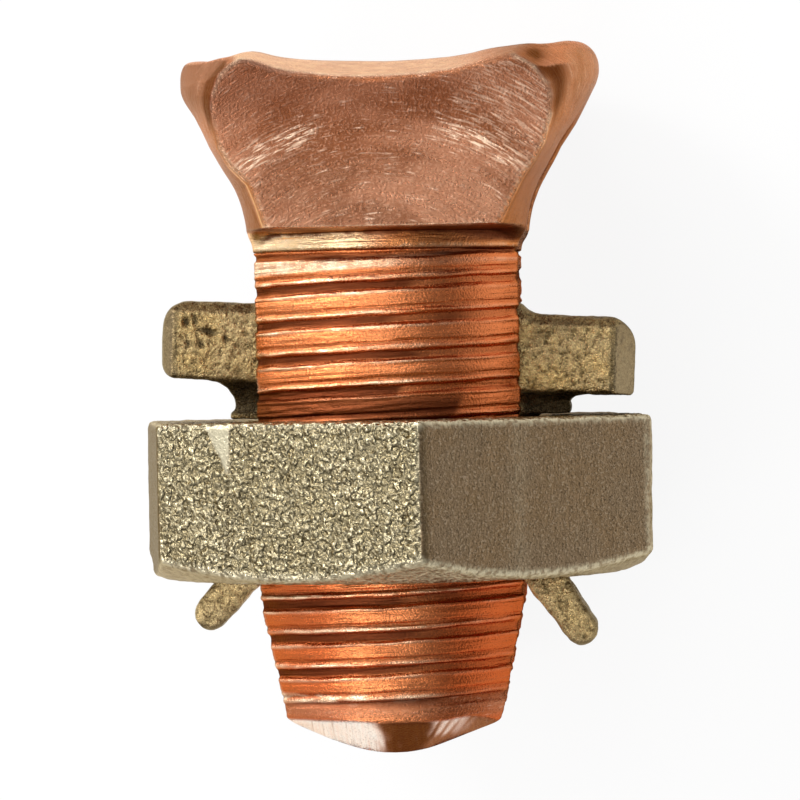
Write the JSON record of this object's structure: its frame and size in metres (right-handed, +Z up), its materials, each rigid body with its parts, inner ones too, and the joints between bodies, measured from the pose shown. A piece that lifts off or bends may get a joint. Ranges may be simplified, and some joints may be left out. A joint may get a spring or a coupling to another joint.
{
  "type": "split-bolt cable connector",
  "caption": "Copper split bolt with a saddle head and a long cable slot, closed by a bronze hex nut and a pressure bar that clamps bare cables in the slot.",
  "frame": {"origin": "middle of the cable seat, on the bolt's axis", "axes": "+Y along the bolt towards its head, +Z up as the connector lies on one flat of its nut; cables run across the bolt, 22.5 degrees below +X"},
  "size_m": [0.0348, 0.0433, 0.0302],
  "materials": {
    "copper": "forged copper, satin, with tool scratches",
    "nut_bronze": "sand-cast bronze, one face brushed",
    "bar_bronze": "rough cast bronze, pitted"
  },
  "bodies": {
    "bolt": {"split_bolt": "copper"},
    "bar": {"pressure_bar": "bar_bronze"},
    "nut": {"hex_nut": "nut_bronze"}
  },
  "joints": [
    {"name": "bar_slide", "type": "slide", "parent": "bolt", "child": "bar", "axis": [0, 1, 0], "range_m": [-0.0186, 0.0075]},
    {"name": "nut_turn", "type": "hinge", "parent": "bar", "child": "nut", "pos_m": [0, -0.0177, 0], "axis": [0, 1, 0], "range_deg": [-3150, 1260]}
  ],
  "couplings": [
    {"joint": "bar_slide", "follows": "nut_turn", "m_per_rad": 0.00033693}
  ]
}
